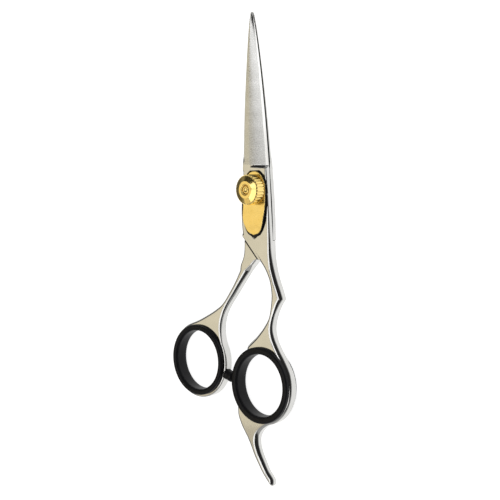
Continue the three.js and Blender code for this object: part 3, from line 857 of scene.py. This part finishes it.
def white_nylon():
    """Cream-white nylon with a fine grain, a little translucent."""
    made, shader = material("white_nylon", (0.86, 0.83, 0.75), 0, 0.45)
    shader.inputs["Subsurface Weight"].default_value = 0.15
    shader.inputs["Subsurface Radius"].default_value = (0.0006, 0.0005, 0.0004)
    tone = noise(made, scale=0.7, detail=5)
    vary(made, shader, "Base Color", tone, (0.3, (0.8, 0.77, 0.69)), (0.7, (0.9, 0.875, 0.8)))
    vary(made, shader, "Roughness", tone, (0.3, 0.52), (0.7, 0.38))
    bump(made, shader, noise(made, scale=6, detail=4), 0.15, 0.015)
    return made


def painted_shade_material():
    """Painted shade: nearly black and a little uneven, laid where a recess, a step or an edge lies in shadow.
    """
    made, shader = material("painted_shade_material", (0.008, 0.007, 0.007), 0.2, 0.6)
    tone = noise(made, scale=1.6, detail=4)
    vary(made, shader, "Base Color", tone, (0.3, (0.004, 0.004, 0.004)), (0.75, (0.016, 0.014, 0.012)))
    vary(made, shader, "Roughness", tone, (0.3, 0.7), (0.75, 0.5))
    bump(made, shader, tone, 0.2, 0.02)
    return made


STEEL = polished_steel()
GROUND = ground_steel()
GOLD = gold_metal()
BOLT_STEEL = bolt_steel()
BRASS = bushing_metal()
RUBBER = black_rubber()
NYLON = white_nylon()
# Painted shade, used in the plate's pocket, along the heel's step and on the plate's sides.
PAINTED_SHADE = painted_shade_material()


# ---- pieces


def joined_half(name, handle, blade, turned_over):
    """One object from the contoured handle and the lofted blade."""
    steel, ground, painted_shade = range(3)  # places in the list of materials
    points, faces = handle
    blade_points, blade_faces, blade_names, ends = blade
    if turned_over:
        blade_points = blade_points * [-1, 1, -1] + [0, 0, 2 * MID_Z]
    first = len(points)
    all_faces = faces.tolist()
    indices = [steel] * len(all_faces)
    for quad, kind in zip(blade_faces, blade_names):
        all_faces.append([first + i for i in quad])
        x, y = blade_points[list(quad)].mean(0)[:2]
        up = heel_y(x, y)
        # Painted shadow: a dark line along the heel's step, on the upper half only.
        in_shadow_line = HEEL_SHADOW_LINE_Y[0] < up < HEEL_SHADOW_LINE_Y[1] and HEEL_SHADOW_LINE_X[0] < x < HEEL_SHADOW_LINE_X[1]
        if kind == "facet" and in_shadow_line and not turned_over:
            indices.append(painted_shade)
        elif kind in ("inner", "facet", "back") and up > HEEL_SHADOW_LINE_Y[1]:
            indices.append(ground)
        else:
            indices.append(steel)
    for end in ends:
        all_faces.append([first + i for i in end])
        indices.append(steel)
    everything = np.concatenate([points, blade_points])
    if not turned_over:
        x, y, z = points[faces].mean(1).T
        # Painted shade: the pocket's floor and walls on its +X side get the nearly black material.
        painted_pocket_shade = (z > POCKET_FLOOR - 0.05) & (z < FRONT_Z - POCKET_RIM - 0.02)
        painted_pocket_shade &= (pocket_field()(x, y) < 0.04) & (x > POCKET_PAINTED_SHADE_X)
        for i in np.nonzero(painted_pocket_shade)[0]:
            indices[i] = painted_shade
    corners = points[faces]
    ride = np.abs(corners[:, :, 2] - MID_Z).max(1) < RIDE_GAP + 0.02
    ride &= corners[:, :, 1].min(1) > RIDE_END_Y
    for i in np.nonzero(ride)[0]:
        indices[i] = ground
    piece = mesh_object(name, everything, all_faces, [STEEL, GROUND, PAINTED_SHADE], indices, 30)
    crease_blade(piece.data, blade_names, len(faces))
    return piece


def crease_blade(mesh, names, handle_faces):
    """Keeps the line between two of the blade's ground faces sharp, however slight its angle."""
    sharp = np.zeros(len(mesh.edges), bool)
    mesh.attributes["sharp_edge"].data.foreach_get("value", sharp)
    keys = {}
    for polygon, kind in zip(mesh.polygons[handle_faces:], names):
        for key in polygon.edge_keys:
            keys.setdefault(key, []).append(kind)
    for edge in mesh.edges:
        kinds = keys.get(tuple(sorted(edge.vertices)))
        if kinds and len(kinds) == 2 and kinds[0] != kinds[1]:
            sharp[edge.index] = True
    mesh.attributes["sharp_edge"].data.foreach_set("value", sharp)
    mesh.update()


def contoured_handle(outline, field):
    """Points and faces of one half, from its root to its ring."""
    lo = (*(outline.min(0) - GRID_MARGIN), MID_Z - HALF_T - GRID_MARGIN_Z)
    hi = (outline[:, 0].max() + GRID_MARGIN, JOIN_Y + GRID_MARGIN, FRONT_Z + GRID_MARGIN_Z)
    return contour(outline, field, lo, hi, CELL)


def finger_half():
    handle = contoured_handle(finger_outline(), finger_field(pocket_field()))
    blade = blade_loft(FINGER_SPINE_SIDE, FINGER_EDGE_SIDE)
    piece = joined_half("finger_half_steel", handle, blade, False)
    return place(piece, "finger_side", "polished_steel", "finger_half")


def thumb_half():
    handle = contoured_handle(thumb_outline(), thumb_field)
    blade = blade_loft(THUMB_SPINE_SIDE, THUMB_EDGE_SIDE)
    piece = joined_half("thumb_half_steel", handle, blade, True)
    return place(piece, "thumb_side", "polished_steel", "thumb_half")


def ring_insert(node, body, centre, lip_r, hole_r):
    """A rubber sleeve through the ring with a full round lip on each face."""
    under = RING_HALF_T + LIP_GAP
    eye_r = hole_r - EYE_T

    def lip(top):
        return [
            (hole_r - 0.1, under - 0.1), (hole_r - 0.1, under - 0.08), (lip_r - 0.5, under - 0.1),
            (lip_r, under - 0.25), (lip_r - 0.04, top - 0.34), (lip_r - 0.62, top - 0.01), (eye_r + 1.2, top),
            (eye_r + 0.42, top - 0.2), (eye_r + 0.04, top - 0.85), (eye_r, 0.6),
        ]

    loop = [*lip(INSERT_HALF + LIP_RAISED), *[(r, -z) for r, z in lip(INSERT_HALF)][::-1]]
    profile = rounded([loop[-1], *loop, loop[0]], 0.42, 5)[1:-1]
    points, faces = turned(profile, 144, True)
    points = points + [centre[0], centre[1], MID_Z]
    piece = mesh_object(f"{node}_rubber", points, faces, [RUBBER], sharp_deg=60)
    return place(piece, body, "black_rubber", node)


def bumper_pad():
    """A domed rubber stop with a shallow waist, on the thumb ring's outer side."""
    reach, painted_pocket_shade, r = 3.3, 0.45, 1.9
    profile = rounded([
        (0.7, -painted_pocket_shade), (r, -painted_pocket_shade), (r, 0.5), (r - 0.14, 1.0), (r - 0.14, 1.35), (r, 1.7), (r, reach - 0.75),
        (r - 0.35, reach - 0.2), (r - 0.95, reach - 0.03), (0, reach),
    ], 0.28, 5)
    inside = [(0, 1.2), (0.7, 1.2)]
    points, faces = turned([*inside, *profile], 64, False)
    direction = Vector((math.cos(BUMPER_ANGLE), math.sin(BUMPER_ANGLE), 0))
    turn = np.array(Vector((0, 0, 1)).rotation_difference(direction).to_matrix())
    start = np.array([*THUMB_CENTRE, MID_Z]) + THUMB_RING_R * np.array(direction)
    piece = mesh_object("bumper_pad_rubber", points @ turn.T + start, faces, [RUBBER])
    return place(piece, "thumb_side", "black_rubber", "bumper_pad")


def tension_plate():
    """The bowed leaf, with its edges softly rounded and its steep sides painted in shade."""
    thickness = 0.8
    edge_r = 0.2
    bow_height = 0.5
    bow_y = (-4.9, PLATE_LO[1])

    def field(x, y, z, d):
        share = np.clip((bow_y[0] - y) / (bow_y[0] - bow_y[1]), 0, 1)
        z = z - PLATE_LO[2] - thickness / 2 - bow_height * np.sin(math.pi * share) ** 2
        across = edge_r - d
        up = np.abs(z) - thickness / 2 + edge_r
        outside = np.hypot(np.maximum(across, 0), np.maximum(up, 0))
        body = outside + np.minimum(np.maximum(across, up), 0)
        return cut(body - edge_r, from_centre(x, y) - BOLT_SHOULDER - LOOSE_GAP)

    outline = plate_outline()
    lo = (*(outline.min(0) - 0.4), PLATE_LO[2] - GRID_MARGIN_Z)
    hi = (*(outline.max(0) + 0.4), PLATE_HI[2] + GRID_MARGIN_Z)
    points, faces = contour(outline, field, lo, hi, PLATE_CELL)
    corners = points[faces]
    across = np.cross(corners[:, 2] - corners[:, 0], corners[:, 3] - corners[:, 1])
    painted_dark_edge = np.abs(across[:, 2]) < 0.45 * np.linalg.norm(across, axis=1)  # the plate's steep sides, which get painted shade
    piece = mesh_object("tension_plate_gold", points, faces, [GOLD, PAINTED_SHADE], painted_dark_edge, sharp_deg=60)
    return place(piece, "finger_side", "gold_plate", "tension_plate")


KNOB_FLUTES = 30


def tension_knob():
    """The knurled nut: fluted wall, a domed face, and a dish round the bolt's end."""
    (_, _, bottom), (r, _, top) = box_mm("tension_knob")
    wall = bottom + 3.35
    ring_seat, spring_seat, bore = 2.63, 3.9, 1.56
    floor = box_mm("knob_lock_ring")[0][2]
    ring_top = box_mm("knob_lock_ring")[1][2] + 0.03
    corners = [
        (ring_seat, ring_top), (ring_seat, floor), (spring_seat, floor), (spring_seat, bottom),
        (r - 0.25, bottom), (r, bottom + 0.25), (r, wall), (r - 0.35, wall + 0.35), (2.9, top - 0.05),
        (2.0, top), (1.86, top - 0.08), (1.82, top - 0.3), (bore, top - 0.3), (bore, ring_top),
    ]
    profile = rounded([corners[-1], *corners, corners[0]], 0.14, 3)[1:-1]
    dense = []
    for a, b in zip(profile, profile[1:] + profile[:1]):
        count = max(1, int(math.dist(a, b) / 0.3))
        dense += [tuple(np.array(a) + (np.array(b) - np.array(a)) * i / count) for i in range(count)]

    def fluted(radius, z, angle):
        if radius < r - 0.45 or z < bottom:
            return radius
        depth = 0.2 * smoothstep(r - 0.45, r - 0.1, radius)
        return radius - depth * max(0.0, math.cos(KNOB_FLUTES / 2 * angle) ** 2 * 1.35 - 0.35)

    points, faces = turned(dense, 360, True, fluted)
    piece = mesh_object("tension_knob_gold", points, faces, [GOLD], sharp_deg=48)
    return place(piece, "knob", "gold_plate", "tension_knob")


def pivot_bolt():
    """A low round head, a shoulder, and an end with a gilt dish in it, which shows in the knob."""
    head_r, top = BOLT_HEAD_R, BOLT_TOP
    neck = box_mm("plate_washer")[0][2]
    profile = rounded([
        (0, 0.0), (head_r - 0.35, 0), (head_r, 0.3), (head_r, BOLT_HEAD_T), (BOLT_SHOULDER, BOLT_HEAD_T),
        (BOLT_SHOULDER, neck), (1.5, neck + 0.3), (1.5, top - 0.4), (1.2, top - 0.06), (0.75, top - 0.02),
        (0.68, top - 0.3), (0.3, top - 0.42), (0, top - 0.42),
    ], 0.12, 3)
    points, faces = turned(profile, 96, False)
    gilt = [points[face[0]][2] > top - 0.5 for face in faces]  # the end and its dish
    piece = mesh_object("pivot_bolt_steel", points, faces, [BOLT_STEEL, GOLD], gilt, sharp_deg=35)
    return place(piece, "thumb_side", "pivot_steel", "pivot_bolt")


def finish_cad_nodes():
    """The pieces that stay as the CAD made them get their materials."""
    finishes = {
        "bumper_stud": BOLT_STEEL, "pivot_bushing": BRASS, "glide_washer": NYLON, "plate_washer": NYLON,
        "knob_spring": BOLT_STEEL, "knob_lock_ring": NYLON,
    }
    for node, finish in finishes.items():
        shown = frame["nodes"][node]
        shown.data.materials.clear()
        shown.data.materials.append(finish)
        for slot in shown.material_slots:
            slot.material = finish


# ---- stage

VIEW_ANGLE = math.radians(44)  # of the camera, from the pivot axis towards +X
VIEW_DISTANCE = 450
LOOK_AT = (-2.491, -20.358, 5.025)
ROLL = math.radians(2)
LENS = 95.904


def stand(name, data, axes, at):
    """Adds a camera or a light, which looks down its own -Z, from its three axes and its place in metres."""
    made = bpy.data.objects.new(name, data)
    bpy.context.scene.collection.objects.link(made)
    made.matrix_world = Matrix([(*(axis[i] for axis in axes), at[i]) for i in range(3)] + [(0, 0, 0, 1)])
    return made


def camera():
    data = bpy.data.cameras.new("camera")
    data.sensor_width = 36
    data.lens = LENS
    data.clip_start, data.clip_end = 0.01, 20
    out = Vector((math.sin(VIEW_ANGLE), 0, math.cos(VIEW_ANGLE)))
    at = Vector((0, 0, MID_Z)) + out * VIEW_DISTANCE
    ahead = (Vector(LOOK_AT) - at).normalized()
    right = ahead.cross(Vector((0, 1, 0))).normalized()
    up = right.cross(ahead)
    up = right * math.sin(ROLL) + up * math.cos(ROLL)
    right = ahead.cross(up)
    bpy.context.scene.camera = stand("camera", data, (right, up, -ahead), [value * MM for value in at])


PANEL_DISTANCE = 0.9  # in metres

# What each panel covers, in degrees from +Z towards +X and then towards +Y, its radiance and its colour.
PANELS = {
    "warm_panel": ((-57, -33), (-15, 15), 1.02, (1.0, 0.9, 0.67)),
    "warm_panel_low": ((-57, -33), (-36, -15), 0.75, (1.0, 0.89, 0.68)),
    "white_panel": ((-30, 12), (-36, -1), 1.6, (1.0, 0.99, 0.98)),
    "edge_panel": ((-10, 12), (-1, 6), 1.4, (1.0, 0.99, 0.98)),
    "dim_panel": ((-30, -10), (-1, 6), 0.22, (1.0, 0.98, 0.95)),
    "high_panel": ((-30, 12), (6, 17), 2.0, (0.99, 0.985, 1.0)),
}


def softbox(name, around, along_y, radiance, color):
    """A panel of light that the camera doesn't see."""
    tilt, side = (math.radians(sum(pair) / 2) for pair in (around, along_y))
    span, width = (math.radians(pair[1] - pair[0]) for pair in (around, along_y))
    data = bpy.data.lights.new(name, "AREA")
    data.shape = "RECTANGLE"
    data.size = 2 * PANEL_DISTANCE * math.tan(span / 2) * math.cos(side)
    data.size_y = 2 * PANEL_DISTANCE * math.tan(width / 2)
    data.energy = radiance * math.pi * data.size * data.size_y
    data.color = color
    out = Vector((math.sin(tilt) * math.cos(side), math.sin(side), math.cos(tilt) * math.cos(side)))
    across = Vector((0, 1, 0)).cross(out).normalized()
    up = out.cross(across)
    made = stand(name, data, (across, up, out), [value * PANEL_DISTANCE for value in out])
    made.visible_camera = False


# Brightness of the studio's walls.
HORIZON = 0.5
FAR_SIDE = 0.22  # share of the horizon's that is left due -X
OVERHEAD = 0.03
ENDS = 0.42  # high up beyond the tips and beyond the finger rest, on the -X side


def world():
    """Pale round the horizon and above the two ends, and dark overhead on the +X side."""
    made = bpy.data.worlds.new("world")
    bpy.context.scene.world = made
    made.use_nodes = True
    nodes, links = made.node_tree.nodes, made.node_tree.links
    source = nodes.new("ShaderNodeTexCoord")
    split = nodes.new("ShaderNodeSeparateXYZ")
    links.new(source.outputs["Generated"], split.inputs["Vector"])

    def combine(operation, a, b):
        node = nodes.new("ShaderNodeMath")
        node.operation = operation
        links.new(a, node.inputs[0])
        links.new(b, node.inputs[1])
        return node.outputs[0]

    def change(value, start, end, at_start, at_end):
        node = nodes.new("ShaderNodeMapRange")
        node.interpolation_type = "SMOOTHSTEP"
        links.new(value, node.inputs["Value"])
        numbers = {"From Min": start, "From Max": end, "To Min": at_start, "To Max": at_end}
        for socket, number in numbers.items():
            node.inputs[socket].default_value = number
        return node.outputs["Result"]

    x, y, z = (split.outputs[axis] for axis in "XYZ")
    upward = change(z, 0.45, 0.6, HORIZON, OVERHEAD)
    horizon = combine("MULTIPLY", upward, change(x, -0.95, -0.6, FAR_SIDE, 1))
    endward = change(combine("MULTIPLY", y, y), 0.2, 0.4, 0, ENDS)
    ends = combine("MULTIPLY", endward, change(x, -0.06, 0.08, 1, 0))
    links.new(combine("MAXIMUM", horizon, ends), nodes["Background"].inputs["Color"])
    nodes["Background"].inputs["Strength"].default_value = 1


def floor():
    """A large pale floor just under the shears, faintly mottled."""
    half, steps, drop = 3000.0, 12, 0.02
    points = [
        (half * (2 * i / steps - 1), half * (2 * j / steps - 1), -drop)
        for i in range(steps + 1) for j in range(steps + 1)
    ]
    row = steps + 1
    faces = [
        (i * row + j, (i + 1) * row + j, (i + 1) * row + j + 1, i * row + j + 1)
        for i in range(steps) for j in range(steps)
    ]
    made, shader = material("floor", (0.5, 0.5, 0.5), 0, 0.9)
    tone = noise(made, scale=0.02, detail=3)
    vary(made, shader, "Base Color", tone, (0.3, 0.48), (0.7, 0.52))
    shader.inputs["Emission Color"].default_value = (1, 1, 1, 1)
    shader.inputs["Emission Strength"].default_value = 0.92
    piece = mesh_object("floor", points, faces, [made])


# ---- build

camera()
for panel, settings in PANELS.items():
    softbox(panel, *settings)
world()
floor()

finger_half()
thumb_half()
ring_insert("finger_ring_insert", "finger_side", FINGER_CENTRE, FINGER_LIP_R - FINGER_LIP_TRIM, FINGER_HOLE_R)
ring_insert("thumb_ring_insert", "thumb_side", THUMB_CENTRE, THUMB_LIP_R - THUMB_LIP_TRIM, THUMB_HOLE_R)
bumper_pad()
tension_plate()
tension_knob()
pivot_bolt()
finish_cad_nodes()

bpy.context.scene.view_settings.view_transform = "Standard"
